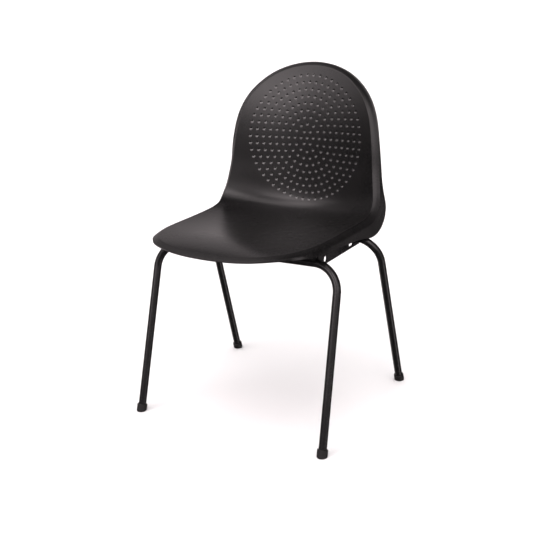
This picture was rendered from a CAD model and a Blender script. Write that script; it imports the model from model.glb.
import bpy, math
import numpy as np
from mathutils import Vector, Matrix
from mathutils.geometry import delaunay_2d_cdt


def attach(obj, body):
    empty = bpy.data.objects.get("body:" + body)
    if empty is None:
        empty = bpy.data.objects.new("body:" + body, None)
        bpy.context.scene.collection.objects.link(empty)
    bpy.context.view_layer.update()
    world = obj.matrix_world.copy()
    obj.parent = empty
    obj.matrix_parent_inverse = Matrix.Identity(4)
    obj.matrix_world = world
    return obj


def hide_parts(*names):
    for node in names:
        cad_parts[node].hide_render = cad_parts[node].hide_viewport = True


# Looks of the choir chair. Tables are in millimetres, the meshes come out in metres.

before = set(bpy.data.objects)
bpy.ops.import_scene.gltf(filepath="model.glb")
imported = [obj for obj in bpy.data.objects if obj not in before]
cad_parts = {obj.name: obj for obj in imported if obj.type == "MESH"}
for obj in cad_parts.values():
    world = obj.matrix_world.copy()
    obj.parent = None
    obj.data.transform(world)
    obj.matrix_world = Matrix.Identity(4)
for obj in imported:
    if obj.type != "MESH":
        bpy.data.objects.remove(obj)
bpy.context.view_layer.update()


MM = 0.001

# ---------------------------------------------------------------- dimensions
Y_SHIFT = -15.2
TUBE_R = 9.0
BEND_R = 60.0
FRONT_BAR_Z, REAR_BAR_Z = 393.6, 395.5
FRONT_FOOT, REAR_FOOT = (245.5, -205.1), (242.7, 222.9)
FRONT_LEAN, REAR_LEAN = (-0.0210, 0.2929), (-0.0182, -0.2753)
CAP_FLOOR = 6.0
SHELL_T, LIP_T = 5.0, 4.4
HOLE_PITCH, HOLE_RINGS = 16.79, 9
HOLE_BORE_R, HOLE_MOUTH_R, DISH_R = 1.2, 3.9, 5.0
BOWL_D, PIN_R, PIN_EXIT_R = 4.6, 0.7, 0.45      # steep bowl of each hole and the fine bore that it drafts down to
BACK_TILT = math.radians(5.64)
FIELD_Y, FIELD_Z = 218.3, 603.3
EDGE_MIN = 1.8
BRACKET_X, BRACKET_T, BRACKET_OFF = 122.0, 3.0, 18.0
INSERT_R, INSERT_L, BOSS_R = 4.5, 11.0, 10.0

STATIONS = [
    (-250.0, 418.6, 0.0, 15.0), (-240.0, 422.6, 0.0, 14.0), (-219.0, 429.4, 0.0, 11.0), (-200.0, 433.1, 0.0, 8.0),
    (-175.0, 435.5, 0.0, 5.8), (-139.0, 436.0, -0.6, 5.6), (-100.0, 434.3, -3.1, 6.9),
    (-55.0, 431.2, -7.4, 9.3), (0.0, 427.0, -15.3, 13.3), (60.0, 422.7, -26.5, 17.8),
    (110.0, 420.3, -41.0, 20.6), (150.0, 420.8, -50.5, 21.6), (173.0, 424.6, -53.0, 21.2),
    (190.0, 433.2, -53.8, 19.6), (200.2, 446.0, -52.6, 17.0), (204.6, 461.5, -49.6, 12.8),
    (207.2, 481.8, -46.2, 7.4), (209.4, 505.7, -43.4, 4.8)]
for _v in (-62.0, -25.0, 12.0, 50.0, 88.0, 126.0, 150.0, 174.0, 190.0, 202.0):
    _d = 0.000527309 * _v * _v / 2.0 + 0.178179 * _v ** 3 / 1.0e5
    _e = -36.956 + 0.052156 * _v
    STATIONS.append((FIELD_Y + _v * math.sin(BACK_TILT) + _d * math.cos(BACK_TILT),
                     FIELD_Z + _v * math.cos(BACK_TILT) - _d * math.sin(BACK_TILT),
                     _e * math.cos(BACK_TILT), -_e * math.sin(BACK_TILT)))

EDGE_SEAT = [(0.0, -222.0), (45.0, -221.3), (88.0, -218.0), (128.0, -208.5), (159.5, -190.5),
             (181.0, -164.0), (191.5, -135.0), (197.4, -100.0), (199.8, -55.0), (200.6, 0.0),
             (201.3, 60.0), (202.4, 110.0), (204.0, 150.0)]
EDGE_CORNER = [(205.4, 424.6), (206.6, 433.2), (206.5, 446.0), (205.0, 461.5), (202.0, 481.8), (198.4, 505.7)]
EDGE_BACK = [(193.6, -62.0), (189.2, -20.0), (184.6, 14.0), (178.0, 47.0), (168.0, 75.0),
             (152.5, 102.0), (131.0, 126.0), (105.0, 146.0), (74.0, 161.0), (38.0, 170.6), (0.0, 174.0)]


# ------------------------------------------------------------- shell surface
class Spline(object):
    """Natural cubic spline that takes arrays."""

    def __init__(self, t, p):
        n = len(t)
        t, p = np.array(t, float), np.array(p, float)
        h = np.diff(t)
        a = np.zeros((n, n))
        r = np.zeros(n)
        a[0, 0] = a[-1, -1] = 1.0
        for i in range(1, n - 1):
            a[i, i - 1], a[i, i], a[i, i + 1] = h[i - 1], 2.0 * (h[i - 1] + h[i]), h[i]
            r[i] = 6.0 * ((p[i + 1] - p[i]) / h[i] - (p[i] - p[i - 1]) / h[i - 1])
        self.t, self.p, self.m = t, p, np.linalg.solve(a, r)

    def __call__(self, s):
        s = np.asarray(s, float)
        t, p, m = self.t, self.p, self.m
        i = np.clip(np.searchsorted(t, s, side="left") - 1, 0, len(t) - 2)
        h = t[i + 1] - t[i]
        a, b = t[i + 1] - s, s - t[i]
        return ((m[i] * a ** 3 + m[i + 1] * b ** 3) / (6.0 * h)
                + (p[i] / h - m[i] * h / 6.0) * a + (p[i + 1] / h - m[i + 1] * h / 6.0) * b)


KNOT = [0.0]
for _i in range(1, len(STATIONS)):
    KNOT.append(KNOT[-1] + math.hypot(STATIONS[_i][0] - STATIONS[_i - 1][0], STATIONS[_i][1] - STATIONS[_i - 1][1]))
CY, CZ, DY, DZ = [Spline(KNOT, [s[k] for s in STATIONS]) for k in range(4)]


def surf(p, x):
    p, x = np.asarray(p, float), np.asarray(x, float)
    g = (x / 200.0) ** 2
    return np.stack([x + 0.0 * p, CY(p) + DY(p) * g + Y_SHIFT, CZ(p) + DZ(p) * g], -1)


def unit(a):
    return a / np.linalg.norm(a, axis=-1, keepdims=True)


def normal(p, x, e=0.5):
    return unit(np.cross(surf(p, x + e) - surf(p, x - e), surf(p + e, x) - surf(p - e, x)))


def behind(p, x):
    return surf(p, x) - normal(p, x) * SHELL_T


def solve(fn, target, lo, hi):
    for _ in range(60):
        mid = 0.5 * (lo + hi)
        if fn(mid) < target:
            lo = mid
        else:
            hi = mid
    return 0.5 * (lo + hi)


def v_of(p, x):
    q = surf(p, x)
    return (q[..., 1] - Y_SHIFT - FIELD_Y) * math.sin(BACK_TILT) + (q[..., 2] - FIELD_Z) * math.cos(BACK_TILT)


SEAT_P, P_FIELD = KNOT[11], KNOT[14]
half = []
for _x, _y in EDGE_SEAT:
    half.append((solve(lambda p: CY(p), _y, 0.0, SEAT_P + 5.0), _x))
for (_x, _z), _st in zip(EDGE_CORNER, range(12, 18)):
    half.append((KNOT[_st], _x))
for _x, _v in EDGE_BACK:
    half.append((solve(lambda p: v_of(p, 0.0), _v, P_FIELD, KNOT[-1]), _x))
full = half + [(p, -x) for p, x in reversed(half[1:-1])]
closed = full[-3:] + full + full[:4]
_pts = surf([c[0] for c in closed], [c[1] for c in closed])
acc = np.concatenate([[0.0], np.cumsum(np.linalg.norm(np.diff(_pts, axis=0), axis=1))])
OP, OX = Spline(acc, [c[0] for c in closed]), Spline(acc, [c[1] for c in closed])
T0, T1 = acc[3], acc[3 + len(full)]
P_NOSE, P_TOP = half[0][0], half[-1][0]


def outline(tau):
    s = T0 + np.mod(tau, 1.0) * (T1 - T0)
    return OP(s), OX(s)


def p_at_y(y):
    return solve(lambda p: CY(p), y, 0.0, SEAT_P + 5.0)


P_Q = [P_NOSE, p_at_y(-190.0), p_at_y(-130.0), p_at_y(-60.0), p_at_y(0.0), p_at_y(60.0), KNOT[11], KNOT[12],
       KNOT[13], KNOT[14], KNOT[15], KNOT[16], KNOT[17], KNOT[18], KNOT[19], KNOT[21], KNOT[23], KNOT[24], KNOT[25]]
BAND_A = [14.0, 13.4, 11.2, 10.4, 10.1, 9.4, 7.4, 6.2,
          5.4, 5.2, 5.4, 6.0, 6.6, 7.2, 7.4, 7.4, 7.8, 8.2, 8.6]
BAND_B = [5.0, 5.8, 9.6, 11.2, 12.0, 12.8, 15.0, 16.2,
          17.0, 17.2, 17.0, 16.6, 16.0, 15.2, 14.4, 13.6, 11.5, 9.5, 7.0]
SKIRT = [0.3, 4.0, 8.0, 10.0, 13.0, 17.5, 28.5, 36.0,
         42.0, 40.0, 30.0, 18.5, 10.5, 5.5, 2.4, 0.3, 0.0, 0.0, 0.0]
FLARE = [0.0, 0.0, 0.0, 0.0, 0.0, 0.0, 0.0, 0.2,
         0.5, 0.9, 1.4, 2.2, 3.2, 4.2, 4.8, 5.0, 4.2, 3.4, 2.8]
S_A, S_B, S_K, S_F = [Spline(P_Q, _t) for _t in (BAND_A, BAND_B, SKIRT, FLARE)]


# ------------------------------------------------------------- mesh gathering
class Mesh(object):
    """Vertices with their own normals, and faces."""

    def __init__(self):
        self.v, self.n, self.f, self.count, self.smooth_run = [], [], [], 0, (0, 0)

    def add(self, v, n):
        v = np.asarray(v, float).reshape(-1, 3)
        self.v.append(v)
        self.n.append(np.asarray(n, float).reshape(-1, 3))
        first = self.count
        self.count += len(v)
        return np.arange(first, self.count)

    def quads(self, a, b, closed_loop=True, flip=False):
        """Strip between two index rows (or stacks of rows) of equal length."""
        a, b = np.atleast_2d(a), np.atleast_2d(b)
        k = a.shape[1]
        i = np.arange(k if closed_loop else k - 1)
        j = (i + 1) % k
        q = np.stack([a[:, i], a[:, j], b[:, j], b[:, i]], -1).reshape(-1, 4)
        self.f += (q[:, ::-1] if flip else q).tolist()

    def build(self, name, material, second):
        v, n = np.concatenate(self.v) * MM, unit(np.concatenate(self.n))
        me = bpy.data.meshes.new(name)
        me.from_pydata(v.tolist(), [], self.f)
        me.materials.append(material)
        me.materials.append(second)
        me.polygons.foreach_set("use_smooth", [True] * len(me.polygons))
        lo, hi = self.smooth_run
        me.polygons.foreach_set("material_index", [int(lo <= i < hi) for i in range(len(me.polygons))])
        me.update()
        me.normals_split_custom_set_from_vertices(n.tolist())
        ob = bpy.data.objects.new(name, me)
        bpy.context.scene.collection.objects.link(ob)
        return ob


# ------------------------------------------------------------------ materials
def new_material(name):
    m = bpy.data.materials.new(name)
    m.use_nodes = True
    nt = m.node_tree
    nt.nodes.clear()
    out = nt.nodes.new("ShaderNodeOutputMaterial")
    bs = nt.nodes.new("ShaderNodeBsdfPrincipled")
    nt.links.new(bs.outputs[0], out.inputs[0])
    tc = nt.nodes.new("ShaderNodeTexCoord")
    return m, nt, bs, tc.outputs["Object"]


def noise(nt, co, scale, detail=3.0, rough=0.55):
    n = nt.nodes.new("ShaderNodeTexNoise")
    n.inputs["Scale"].default_value = scale
    n.inputs["Detail"].default_value = detail
    n.inputs["Roughness"].default_value = rough
    nt.links.new(co, n.inputs["Vector"])
    return n.outputs["Fac"]


def voronoi(nt, co, scale, feature="F1"):
    n = nt.nodes.new("ShaderNodeTexVoronoi")
    n.feature = feature
    n.inputs["Scale"].default_value = scale
    nt.links.new(co, n.inputs["Vector"])
    return n.outputs["Distance"]


def remap(nt, fac, a, b, c, d):
    n = nt.nodes.new("ShaderNodeMapRange")
    for i, val in enumerate((a, b, c, d)):
        n.inputs[i + 1].default_value = val
    nt.links.new(fac, n.inputs[0])
    return n.outputs[0]


def math2(nt, op, a, b):
    n = nt.nodes.new("ShaderNodeMath")
    n.operation = op
    for i, s in enumerate((a, b)):
        if isinstance(s, (int, float)):
            n.inputs[i].default_value = s
        else:
            nt.links.new(s, n.inputs[i])
    return n.outputs[0]


def two_colours(nt, fac, c0, c1):
    n = nt.nodes.new("ShaderNodeValToRGB")
    n.color_ramp.elements[0].color = (*c0, 1.0)
    n.color_ramp.elements[1].color = (*c1, 1.0)
    nt.links.new(fac, n.inputs[0])
    return n.outputs[0]


def bump(nt, height, strength, distance, before=None):
    n = nt.nodes.new("ShaderNodeBump")
    n.inputs["Strength"].default_value = strength
    n.inputs["Distance"].default_value = distance
    nt.links.new(height, n.inputs["Height"])
    if before is not None:
        nt.links.new(before, n.inputs["Normal"])
    return n.outputs[0]


def worn_edges(nt, lo, hi):
    g = nt.nodes.new("ShaderNodeNewGeometry")
    return remap(nt, g.outputs["Pointiness"], lo, hi, 0.0, 1.0)


def shell_plastic():
    """Black moulded polypropylene: fine spark-eroded grain, slightly uneven sheen, faint rubbing marks."""
    m, nt, bs, co = new_material("shell_moulded_black")
    cloud = noise(nt, co, 9.0, 4.0)
    nt.links.new(two_colours(nt, cloud, (0.0050, 0.0047, 0.0048), (0.0078, 0.0073, 0.0074)), bs.inputs["Base Color"])
    grain = noise(nt, co, 1500.0, 2.0, 0.6)
    cells = voronoi(nt, co, 900.0)
    mapping = nt.nodes.new("ShaderNodeMapping")
    mapping.inputs["Rotation"].default_value = (0.4, 0.9, 0.3)
    mapping.inputs["Scale"].default_value = (1.0, 14.0, 1.0)
    nt.links.new(co, mapping.inputs["Vector"])
    rub = remap(nt, noise(nt, mapping.outputs[0], 22.0, 6.0, 0.7), 0.62, 0.80, 0.0, 0.05)
    rough = math2(nt, "ADD", remap(nt, cloud, 0.3, 0.7, 0.26, 0.31), rub)
    rough = math2(nt, "ADD", rough, remap(nt, grain, 0.3, 0.7, -0.02, 0.02))
    nt.links.new(rough, bs.inputs["Roughness"])
    height = math2(nt, "ADD", grain, cells)
    nt.links.new(bump(nt, height, 0.12, 0.0001), bs.inputs["Normal"])
    return m


def frame_paint():
    """Black gloss powder coat over steel tube: orange peel, a dust of specks, thin on the sharpest edges."""
    m, nt, bs, co = new_material("frame_powder_black")
    cloud = noise(nt, co, 30.0, 3.0)
    nt.links.new(two_colours(nt, cloud, (0.0045, 0.0042, 0.0043), (0.0075, 0.0070, 0.0071)), bs.inputs["Base Color"])
    peel = noise(nt, co, 420.0, 2.0, 0.45)
    speck = noise(nt, co, 1600.0, 1.0)
    rough = math2(nt, "ADD", remap(nt, cloud, 0.3, 0.7, 0.22, 0.28), remap(nt, speck, 0.6, 0.75, 0.0, 0.08))
    nt.links.new(rough, bs.inputs["Roughness"])
    nt.links.new(bump(nt, peel, 0.10, 0.0002), bs.inputs["Normal"])
    return m


def cap_plastic():
    """Matt black foot cap: fine grain, dustier towards the floor."""
    m, nt, bs, co = new_material("foot_cap_matt")
    sep = nt.nodes.new("ShaderNodeSeparateXYZ")
    nt.links.new(co, sep.inputs[0])
    low = remap(nt, sep.outputs["Z"], 0.0, 0.010, 1.0, 0.0)
    dust = math2(nt, "MULTIPLY", low, noise(nt, co, 260.0, 4.0))
    nt.links.new(two_colours(nt, dust, (0.0050, 0.0048, 0.0048), (0.016, 0.015, 0.014)), bs.inputs["Base Color"])
    grain = noise(nt, co, 1200.0, 2.0, 0.6)
    nt.links.new(remap(nt, grain, 0.3, 0.7, 0.50, 0.60), bs.inputs["Roughness"])
    nt.links.new(bump(nt, grain, 0.15, 0.0001), bs.inputs["Normal"])
    return m


def zinc():
    """Zinc-plated steel: spangled tone and fine turned marks."""
    m, nt, bs, co = new_material("zinc_plate")
    bs.inputs["Metallic"].default_value = 1.0
    cells = voronoi(nt, co, 800.0)
    nt.links.new(two_colours(nt, cells, (0.42, 0.43, 0.44), (0.62, 0.63, 0.65)), bs.inputs["Base Color"])
    fine = noise(nt, co, 1800.0, 3.0)
    nt.links.new(remap(nt, fine, 0.3, 0.7, 0.26, 0.42), bs.inputs["Roughness"])
    nt.links.new(bump(nt, fine, 0.12, 0.00005), bs.inputs["Normal"])
    return m


def brass():
    """Dull brass of the moulded-in nuts."""
    m, nt, bs, co = new_material("insert_dull_brass")
    bs.inputs["Metallic"].default_value = 1.0
    cloud = noise(nt, co, 500.0, 3.0)
    nt.links.new(two_colours(nt, cloud, (0.50, 0.36, 0.14), (0.68, 0.50, 0.22)), bs.inputs["Base Color"])
    nt.links.new(remap(nt, cloud, 0.3, 0.7, 0.30, 0.50), bs.inputs["Roughness"])
    nt.links.new(bump(nt, cloud, 0.15, 0.00005), bs.inputs["Normal"])
    return m


def floor_paper():
    m, nt, bs, co = new_material("studio_floor")
    cloud = noise(nt, co, 3.0, 3.0)
    nt.links.new(two_colours(nt, cloud, (0.86, 0.86, 0.86), (0.88, 0.88, 0.88)), bs.inputs["Base Color"])
    nt.links.new(remap(nt, cloud, 0.3, 0.7, 0.85, 0.95), bs.inputs["Roughness"])
    nt.links.new(bump(nt, noise(nt, co, 400.0, 2.0), 0.03, 0.0002), bs.inputs["Normal"])
    bs.inputs["Specular IOR Level"].default_value = 0.1
    return m


def bowl_plastic():
    """The same plastic where the pins of the mould leave it smoother, inside the holes."""
    m, nt, bs, co = new_material("shell_hole_smooth")
    bs.inputs["IOR"].default_value = 2.4
    cloud = noise(nt, co, 40.0, 3.0)
    nt.links.new(two_colours(nt, cloud, (0.0038, 0.0036, 0.0037), (0.0060, 0.0056, 0.0057)), bs.inputs["Base Color"])
    nt.links.new(remap(nt, cloud, 0.3, 0.7, 0.08, 0.12), bs.inputs["Roughness"])
    nt.links.new(bump(nt, noise(nt, co, 900.0, 2.0), 0.04, 0.0001), bs.inputs["Normal"])
    return m


M_SHELL, M_FRAME, M_CAP, M_ZINC, M_BRASS, M_FLOOR, M_BOWL = (shell_plastic(), frame_paint(), cap_plastic(), zinc(),
                                                            brass(), floor_paper(), bowl_plastic())

# ------------------------------------------------------------------ the shell
N_T = 760                    # sections round the edge
N_H = 28                     # points round each hole
AXIS = np.array([0.0, math.cos(BACK_TILT), -math.sin(BACK_TILT)])     # front to back
E1 = np.array([1.0, 0.0, 0.0])
E2 = np.cross(AXIS, E1)


def edge_frames():
    tau = np.arange(N_T) / float(N_T)
    p, x = outline(tau)
    n = normal(p, x)
    q2, q1 = surf(*outline(tau + 0.0005)), surf(*outline(tau - 0.0005))
    t = unit(q2 - q1)
    out = unit(np.cross(t, n))
    e = 0.5
    prof = np.stack([0.0 * p, CZ(p - e) - CZ(p + e), CY(p + e) - CY(p - e)], -1)
    pc = np.clip(p, P_Q[0], P_Q[-1])
    return (p, x, surf(p, x), n, out, unit(prof) * -1.0, S_A(pc), S_B(pc), np.maximum(0.0, S_K(pc)),
            np.maximum(0.0, S_F(pc)))


EP, EX, EA, EN, EOUT, EBACK, WA, WB, WD, WF = edge_frames()


def moved_domain(p, x, step):
    """Domain place of the surface point that lies `step` (in space) from p, x."""
    e = 0.5
    sp, sx = (surf(p + e, x) - surf(p - e, x)) / (2 * e), (surf(p, x + e) - surf(p, x - e)) / (2 * e)
    g11, g12, g22 = (sp * sp).sum(-1), (sp * sx).sum(-1), (sx * sx).sum(-1)
    b1, b2 = (sp * step).sum(-1), (sx * step).sum(-1)
    det = g11 * g22 - g12 * g12
    return p + (g22 * b1 - g12 * b2) / det, x + (g11 * b2 - g12 * b1) / det


def loop_normals(rows, row_tan):
    """Outward normals of a closed strip: rows (k, N, 3) of points, row_tan (k, N, 3) the way the section runs."""
    along = np.roll(rows, -1, axis=1) - np.roll(rows, 1, axis=1)
    return unit(np.cross(along, row_tan))


TRIM = 0.9                   # the front face ends this far inside the crease

a3, b3 = WA[:, None], WB[:, None]
CORNERS = [EA - EOUT * TRIM,
           EA,
           EA + EOUT * (0.56 * a3) - EN * (0.44 * b3),
           EA + EOUT * a3 - EN * b3]
_foot = CORNERS[3] + EOUT * WF[:, None] + EBACK * (EDGE_MIN + WD[:, None])
_down = unit(_foot - CORNERS[3])
_g = np.clip((WD[:, None] + 1.6 * WF[:, None]) / 9.0, 0.0, 1.0)        # the groove under the band fades out at the nose
CORNERS += [CORNERS[3] + _down * 0.35,
            CORNERS[3] + _down * 0.55 - EOUT * (0.95 * _g),
            CORNERS[3] + _down * 1.35 - EOUT * (0.95 * _g),
            CORNERS[3] + _down * 1.60,
            _foot,
            _foot - EOUT * LIP_T]
CORNERS.append(EA + EOUT * (a3 - LIP_T - 0.4) - EN * (b3 + 0.5))
_s = (b3 + 0.5 - SHELL_T) / (b3 + 0.5 - 4.3)
W_IN = (WA - LIP_T - 0.4) + _s[:, 0] * (-6.5 - (WA - LIP_T - 0.4))      # where the inside wall meets the back face
BP, BX = moved_domain(EP, EX, EOUT * W_IN[:, None])
CORNERS.append(behind(BP, BX))
ROUND = [0.0, 0.9, 3.0, 0.9, 0.3, 0.3, 0.3, 0.3, 0.9, 0.9, 2.5, 0.0]       # how far each corner's rounding reaches along its sides
STEPS = [0, 4, 6, 5, 2, 2, 2, 2, 5, 5, 4, 0]


def section_rows():
    rows, tans = [CORNERS[0]], [unit(CORNERS[1] - CORNERS[0])]
    for k in range(1, len(CORNERS) - 1):
        c, d0, d1 = CORNERS[k], CORNERS[k] - CORNERS[k - 1], CORNERS[k + 1] - CORNERS[k]
        l0, l1 = np.linalg.norm(d0, axis=1, keepdims=True), np.linalg.norm(d1, axis=1, keepdims=True)
        u0, u1 = d0 / l0, d1 / l1
        lim0 = 1.0 if k == 1 else 0.47
        r = np.minimum(ROUND[k], np.minimum(l0 * lim0, l1 * 0.47))
        for j in range(STEPS[k] + 1):
            s = j / float(STEPS[k])
            if k == 1 and j == 0:
                continue          # the front face's own border
            rows.append(c - u0 * r * (1 - s) ** 2 + u1 * r * s ** 2)
            tans.append(unit(u0 * (1 - s) + u1 * s))
    rows.append(CORNERS[-1])
    tans.append(unit(CORNERS[-1] - CORNERS[-2]))
    return np.array(rows), np.array(tans)


def in_poly(px, py, poly):
    inside = np.zeros(len(px), bool)
    x0, y0 = poly[:, 0], poly[:, 1]
    x1, y1 = np.roll(x0, -1), np.roll(y0, -1)
    for a, b, c, d in zip(x0, y0, x1, y1):
        if b == d:
            continue
        hit = ((b > py) != (d > py)) & (px < (c - a) * (py - b) / (d - b) + a)
        inside ^= hit
    return inside


def sheet_faces(border, holes, spacing, clear):
    """Triangles of a sheet in its own plane: border (n,2), holes (h,k,2). Gives extra points and faces."""
    lo, hi = border.min(0), border.max(0)
    gp, gx = np.arange(lo[0], hi[0], spacing), np.arange(lo[1] - spacing, hi[1] + spacing, spacing)
    pp, xx = np.meshgrid(gp, gx, indexing="ij")
    xx = xx + (np.arange(len(gp)) % 2)[:, None] * spacing * 0.5
    pts = np.stack([pp.ravel(), xx.ravel()], -1)
    pts = pts[in_poly(pts[:, 0], pts[:, 1], border)]
    d = np.full(len(pts), 1e9)
    for i in range(0, len(border), 2):
        d = np.minimum(d, np.hypot(pts[:, 0] - border[i, 0], pts[:, 1] - border[i, 1]))
    pts = pts[d > spacing * 0.55]
    if len(holes):
        mid = holes.mean(1)
        rad = np.linalg.norm(holes - mid[:, None], axis=2).max(1)
        keep = np.ones(len(pts), bool)
        for m, r in zip(mid, rad):
            keep &= np.hypot(pts[:, 0] - m[0], pts[:, 1] - m[1]) > r + clear
        pts = pts[keep]
    every = np.concatenate([border] + [h for h in holes] + [pts])
    nb, k = len(border), holes.shape[1] if len(holes) else 0
    edges = [(i, (i + 1) % nb) for i in range(nb)]
    for h in range(len(holes)):
        s = nb + h * k
        edges += [(s + i, s + (i + 1) % k) for i in range(k)]
    res = delaunay_2d_cdt([Vector(q) for q in every], edges, [], 0, 1e-6)
    new, tri, orig = res[0], res[2], res[3]
    back = [o[0] if o else -1 for o in orig]
    assert len(new) == len(every) and min(back) >= 0
    tri = np.array([[back[i] for i in t] for t in tri])
    c = every[tri].mean(1)
    keep = in_poly(c[:, 0], c[:, 1], border)
    if len(holes):
        owner = np.full(len(every), -1)
        owner[nb:nb + len(holes) * k] = np.repeat(np.arange(len(holes)), k)
        o = owner[tri]
        keep &= ~((o[:, 0] >= 0) & (o[:, 0] == o[:, 1]) & (o[:, 1] == o[:, 2]))
    tri = tri[keep]
    a, b, d3 = every[tri[:, 0]], every[tri[:, 1]], every[tri[:, 2]]
    turn = (b[:, 0] - a[:, 0]) * (d3[:, 1] - a[:, 1]) - (b[:, 1] - a[:, 1]) * (d3[:, 0] - a[:, 0])
    tri[turn < 0] = tri[turn < 0][:, ::-1]
    return pts, tri            # counter-clockwise in (p, x)


def hole_seats():
    """Domain place of each hole's centre, ring by ring from the middle."""
    uv = []
    for k in range(HOLE_RINGS + 1):
        for i in range(max(1, 6 * k)):
            ang = 2.0 * math.pi * i / max(1, 6 * k)
            uv.append((k * HOLE_PITCH * math.cos(ang), k * HOLE_PITCH * math.sin(ang)))
    uv = np.array(uv)
    lo, hi = np.full(len(uv), P_FIELD - 30.0), np.full(len(uv), KNOT[-1])
    for _ in range(50):
        mid = 0.5 * (lo + hi)
        low = v_of(mid, uv[:, 0]) < uv[:, 1]
        lo, hi = np.where(low, mid, lo), np.where(low, hi, mid)
    return 0.5 * (lo + hi), uv[:, 0]


def reach(p0, x0, centre, radius, phi, face, top):
    """Domain radius in direction phi at which `face` is `radius` away from centre (a point or, along AXIS, a line)."""
    lo, hi = np.zeros(phi.shape), np.full(phi.shape, top)
    for _ in range(40):
        mid = 0.5 * (lo + hi)
        q = face(p0 + mid * np.cos(phi), x0 + mid * np.sin(phi)) - centre
        near = np.linalg.norm(q, axis=-1) < radius
        lo, hi = np.where(near, mid, lo), np.where(near, hi, mid)
    r = 0.5 * (lo + hi)
    return p0 + r * np.cos(phi), x0 + r * np.sin(phi)


def make_shell():
    g = Mesh()
    hp, hx = hole_seats()
    nh = len(hp)
    phi = np.tile(2.0 * np.pi * np.arange(N_H) / N_H, (nh, 1))
    p0, x0 = hp[:, None] + 0 * phi, hx[:, None] + 0 * phi
    q = surf(hp, hx)
    centre = (q - AXIS * math.sqrt(DISH_R ** 2 - HOLE_MOUTH_R ** 2))[:, None, :]
    fp, fx = reach(p0, x0, centre, DISH_R + 0.28, phi, surf, 9.0)        # just outside the mouth
    mp, mx = reach(p0, x0, centre, DISH_R, phi, surf, 9.0)
    mouth = surf(mp, mx)
    rel = mouth - centre
    psi = np.arctan2(rel @ E2, rel @ E1)
    spin = np.cos(psi)[..., None] * E1 + np.sin(psi)[..., None] * E2
    r_m = np.hypot(rel @ E1, rel @ E2)

    # front face
    border = np.stack(moved_domain(EP, EX, -EOUT * TRIM), -1)
    holes = np.stack([fp, fx], -1)
    extra, tri = sheet_faces(border, holes, 4.2, 1.3)
    dom = np.concatenate([border, holes.reshape(-1, 2), extra])
    idx = g.add(surf(dom[:, 0], dom[:, 1]), normal(dom[:, 0], dom[:, 1]))
    n3 = np.cross(*[surf(dom[tri[0], 0], dom[tri[0], 1])[i] - surf(dom[tri[0], 0], dom[tri[0], 1])[0] for i in (1, 2)])
    away = float(n3 @ normal(dom[tri[0][0], 0], dom[tri[0][0], 1])) < 0
    g.f += idx[tri[:, ::-1] if away else tri].tolist()
    ring0 = idx[:N_T]
    hole0 = idx[N_T:N_T + nh * N_H].reshape(nh, N_H)

    # dished mouths and bores
    f_edge = surf(fp, fx)
    n_edge = normal(fp, fx)

    r_b = 1.04 * r_m

    def on_bowl(r):
        r = np.asarray(r, float)
        r = r if r.ndim else np.full(psi.shape, float(r))
        root, root_m = np.sqrt(1.0 - (r / r_b) ** 2), np.sqrt(1.0 - (r_m / r_b) ** 2)
        depth = np.sqrt(DISH_R ** 2 - r_m ** 2) + BOWL_D * (root - root_m)
        slope = -BOWL_D * r / (r_b ** 2 * root)
        return centre + spin * r[..., None] + AXIS * depth[..., None], unit(spin * slope[..., None] - AXIS)
    s_in, n_in = on_bowl(r_m - 0.25)
    run = len(g.f)
    last = hole0
    for s in (0.33, 0.67, 1.0):
        pt = f_edge * (1 - s) ** 2 + mouth * 2 * s * (1 - s) + s_in * s ** 2
        row = g.add(pt, n_edge * (1 - s) + n_in * s).reshape(nh, N_H)
        g.quads(last, row, flip=True)
        last = row
    for r in (0.92, 0.82, 0.68, 0.50, 0.28, 0.0):
        row = g.add(*on_bowl(PIN_R + 0.15 + (r_m - 0.40 - PIN_R) * r)).reshape(nh, N_H)
        g.quads(last, row, flip=True)
        last = row
    row = g.add(on_bowl(PIN_R)[0] + AXIS * 0.15, -spin).reshape(nh, N_H)
    g.quads(last, row, flip=True)
    last = row

    # where each bore comes out at the back
    line = q[:, None, :]

    def exit_at(radius):
        p, x = p0 + 1.0 * np.cos(phi), x0 + 1.0 * np.sin(phi)
        want1, want2 = radius * np.cos(psi), radius * np.sin(psi)
        e = 0.05
        for _ in range(8):
            b = behind(p, x) - line
            f1, f2 = b @ E1 - want1, b @ E2 - want2
            bp, bx = (behind(p + e, x) - line - b) / e, (behind(p, x + e) - line - b) / e
            j11, j12, j21, j22 = bp @ E1, bx @ E1, bp @ E2, bx @ E2
            det = j11 * j22 - j12 * j21
            p, x = p - (j22 * f1 - j12 * f2) / det, x - (j11 * f2 - j21 * f1) / det
        return p, x
    op, ox = exit_at(PIN_EXIT_R + 0.22)
    bp_, bx_ = exit_at(PIN_EXIT_R)
    row = g.add(behind(bp_, bx_) - AXIS * 0.22, -spin).reshape(nh, N_H)
    g.quads(last, row, flip=True)
    last = row
    g.smooth_run = (run, len(g.f))

    # back face
    border = np.stack([BP, BX], -1)
    holes = np.stack([op, ox], -1)
    extra, tri = sheet_faces(border, holes, 5.0, 1.3)
    dom = np.concatenate([border, holes.reshape(-1, 2), extra])
    idx = g.add(behind(dom[:, 0], dom[:, 1]), -normal(dom[:, 0], dom[:, 1]))
    g.f += idx[tri if away else tri[:, ::-1]].tolist()
    ring_b = idx[:N_T]
    g.quads(last, idx[N_T:N_T + nh * N_H].reshape(nh, N_H), flip=True)

    # edge band, skirt and inside wall
    rows, tans = section_rows()
    nrm = loop_normals(rows, tans)
    if (nrm[6] * (rows[6] - EA + EN * 20.0)).sum() < 0:
        nrm = -nrm
    last = ring0
    for k in range(1, len(rows) - 1):
        row = g.add(rows[k], nrm[k])
        g.quads(last, row, flip=True)
        last = row
    g.quads(last, ring_b, flip=True)

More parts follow.
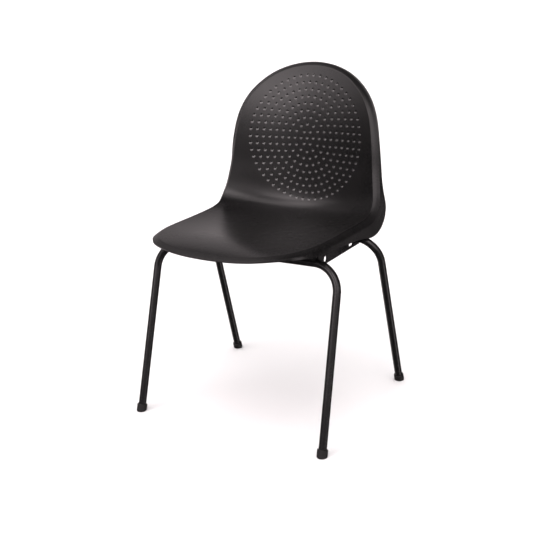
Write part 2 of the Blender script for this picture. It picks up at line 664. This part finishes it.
    # bosses over the four fixing points
    for front in (True, False):
        foot, lean, bz, sg = ((FRONT_FOOT, FRONT_LEAN, FRONT_BAR_Z, 1.0) if front
                              else (REAR_FOOT, REAR_LEAN, REAR_BAR_Z, -1.0))
        ys = foot[1] + lean[1] * bz + Y_SHIFT + sg * BRACKET_OFF
        zb = bz + TUBE_R - 1.5 + BRACKET_T
        pz = solve(lambda s: float(surf(s, BRACKET_X)[1]), ys, P_NOSE, KNOT[12])
        zt = float(surf(pz, BRACKET_X)[2]) - 3.0
        prof = [(INSERT_R, 0.0, 0, -1), (BOSS_R - 0.8, 0.0, 0, -1), (BOSS_R - 0.25, 0.22, 0.7, -0.7), (BOSS_R, 0.8, 1, 0),
                (BOSS_R + 0.9, zt - zb, 1, 0)]
        for side in (1, -1):
            prev = None
            ang = 2 * np.pi * np.arange(40) / 40
            for r, z, nr, nz in prof:
                pt = np.stack([side * BRACKET_X + r * np.cos(ang), ys + r * np.sin(ang), zb + z + 0 * ang], -1)
                nn = np.stack([nr * np.cos(ang), nr * np.sin(ang), nz + 0 * ang], -1)
                row = g.add(pt, nn)
                if prev is not None:
                    g.quads(prev, row)
                prev = row
    return g, rows, nrm


_g, _rows, _nrm = make_shell()
shell = _g.build("seat_shell_moulding", M_SHELL, M_BOWL)


def face_check(ob):
    """Share of faces whose winding agrees with their custom normals."""
    me = ob.data
    k = len(me.polygons)
    pn = np.zeros(k * 3)
    me.polygons.foreach_get("normal", pn)
    start = np.zeros(k, int)
    me.polygons.foreach_get("loop_start", start)
    cn = np.zeros(len(me.loops) * 3)
    me.corner_normals.foreach_get("vector", cn)
    return float((np.sum(pn.reshape(-1, 3) * cn.reshape(-1, 3)[start], 1) > 0).mean())


print("shell vertices", len(shell.data.vertices), "faces", len(shell.data.polygons), "agree", face_check(shell))
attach(shell, "root")
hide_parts("seat_shell")


# ------------------------------------------------------------ carried-over CAD
SLOT_OF = {"front_leg_frame": M_FRAME, "rear_leg_frame": M_FRAME, "side_plate_right": M_FRAME, "side_plate_left": M_FRAME,
           "bracket_front_right": M_FRAME, "bracket_front_left": M_FRAME, "bracket_rear_right": M_FRAME,
           "bracket_rear_left": M_FRAME, "foot_cap_front_right": M_CAP, "foot_cap_front_left": M_CAP,
           "foot_cap_rear_right": M_CAP, "foot_cap_rear_left": M_CAP, "seat_screws": M_ZINC, "screw_washers": M_ZINC,
           "threaded_inserts": M_BRASS}
for name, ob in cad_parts.items():
    if name in SLOT_OF:
        ob.data.materials.clear()
        ob.data.materials.append(SLOT_OF[name])

# -------------------------------------------------------------------- studio
AIR = 0.015                  # light from everywhere
PANELS = [                   # elevation, azimuth and strength of the soft boxes that the gloss sees
    (-30, -90, 1.60), (-30, 90, 1.80), (-30, 150, 0.09), (-5, -154, 1.86), (-5, -129, 0.45), (-5, -103, 0.42),
    (-5, 77, 0.50), (-5, 103, 0.27), (-5, 154, 0.18), (20, -142, 0.45), (20, -117, 0.41), (20, -91, 0.15),
    (20, -65, 0.16), (20, -39, 1.50), (20, -14, 3.70), (20, 12, 0.81), (20, 38, 1.63), (20, 63, 1.91),
    (20, 89, 0.75), (45, -144, 0.18), (45, -108, 0.40), (45, -72, 0.26), (45, -36, 2.98), (45, 0, 0.54),
    (45, 36, 3.54), (45, 72, 1.59), (45, 180, 0.09), (66, -103, 0.29), (66, -51, 1.60), (66, 0, 1.30),
    (66, 51, 0.53),
]


def studio_sweep(name, profile, material, k=96):
    """A round sheet from a (radius, z) profile: the floor, rising far away."""
    me = bpy.data.meshes.new(name)
    v, f = [(0.0, 0.0, 0.0)], []
    for r, z in profile:
        v += [(r * math.cos(2 * math.pi * i / k), r * math.sin(2 * math.pi * i / k), z) for i in range(k)]
    f += [(0, 1 + i, 1 + (i + 1) % k) for i in range(k)]
    for q in range(len(profile) - 1):
        a, b = 1 + q * k, 1 + (q + 1) * k
        f += [(a + i, b + i, b + (i + 1) % k, a + (i + 1) % k) for i in range(k)]
    me.from_pydata(v, [], f)
    me.materials.append(material)
    me.polygons.foreach_set("use_smooth", [True] * len(me.polygons))
    ob = bpy.data.objects.new(name, me)
    bpy.context.scene.collection.objects.link(ob)
    ob.visible_glossy = False
    ob.visible_shadow = False
    return ob


floor = studio_sweep("studio_floor", [(6.0, 0.0), (16.0, 0.0), (24.0, 1.0), (34.0, 6.0), (42.0, 16.0)], M_FLOOR)


def lamp(name, kind, place, target, power, **kw):
    li = bpy.data.lights.new(name, kind)
    li.energy = power
    glossy = kw.pop("glossy", True)
    for key, val in kw.items():
        setattr(li, key, val)
    ob = bpy.data.objects.new(name, li)
    place, target = Vector(place), Vector(target)
    ob.matrix_world = Matrix.Translation(place) @ (place - target).to_track_quat("Z", "Y").to_matrix().to_4x4()
    ob.visible_glossy = glossy
    bpy.context.scene.collection.objects.link(ob)
    return ob


# soft light for the floor and its shadow
lamp("sky_soft", "SUN", (0, 0, 5), (0, 0, 0), 1.5, angle=math.radians(160.0), glossy=False)
lamp("key_soft", "SUN", (0.0, 0.0, 5), (0, 0, 0), 0.9, angle=math.radians(45.0), glossy=False)

world = bpy.data.worlds.new("studio_air")
bpy.context.scene.world = world
world.use_nodes = True
wn = world.node_tree
wn.nodes.clear()
w_out = wn.nodes.new("ShaderNodeOutputWorld")
w_bg = wn.nodes.new("ShaderNodeBackground")
w_tc = wn.nodes.new("ShaderNodeTexCoord")


def glow(az_deg, el_deg, inner_deg, outer_deg, strength):
    """A soft round panel of light in a direction: azimuth 0 is straight in front, positive to the right."""
    a, e = math.radians(az_deg), math.radians(el_deg)
    dot = wn.nodes.new("ShaderNodeVectorMath")
    dot.operation = "DOT_PRODUCT"
    dot.inputs[1].default_value = (math.sin(a) * math.cos(e), -math.cos(a) * math.cos(e), math.sin(e))
    wn.links.new(w_tc.outputs["Generated"], dot.inputs[0])
    m = wn.nodes.new("ShaderNodeMapRange")
    m.interpolation_type = "SMOOTHSTEP"
    wn.links.new(dot.outputs["Value"], m.inputs[0])
    for i, val in enumerate((math.cos(math.radians(outer_deg)), math.cos(math.radians(inner_deg)), 0.0, strength)):
        m.inputs[i + 1].default_value = val
    return m.outputs[0]


level = None
for panel in PANELS:
    one = glow(panel[1], panel[0], 7.0, 18.0, panel[2])
    level = one if level is None else math2(wn, "ADD", level, one)
level = math2(wn, "ADD", level, AIR)
wn.links.new(level, w_bg.inputs[1])
w_bg.inputs[0].default_value = (1.0, 0.905, 0.92, 1.0)
wn.links.new(w_bg.outputs[0], w_out.inputs[0])

# -------------------------------------------------------------------- camera
AZ, EL, ROLL, DIST = 0.554728296, 0.311709146, -0.0454977356, 2.076824
back = Vector((math.sin(AZ) * math.cos(EL), -math.cos(AZ) * math.cos(EL), math.sin(EL)))
right = Vector((math.cos(AZ), math.sin(AZ), 0.0))
up = right.cross(-back)
r2 = right * math.cos(ROLL) + up * math.sin(ROLL)
u2 = up * math.cos(ROLL) - right * math.sin(ROLL)
eye = Vector((0.000617, Y_SHIFT * MM, 0.335925)) + back * DIST
cam = bpy.data.cameras.new("camera")
cam.sensor_width = 36.0
cam.lens = 883.7026 / 533.0 * 36.0
cam.clip_start, cam.clip_end = 0.05, 60.0
cam_ob = bpy.data.objects.new("camera", cam)
cam_ob.matrix_world = Matrix(((r2.x, u2.x, back.x, eye.x), (r2.y, u2.y, back.y, eye.y), (r2.z, u2.z, back.z, eye.z),
                              (0, 0, 0, 1)))
bpy.context.scene.collection.objects.link(cam_ob)
bpy.context.scene.camera = cam_ob

bpy.context.scene.view_settings.view_transform = "Standard"
bpy.context.scene.view_settings.look = "None"
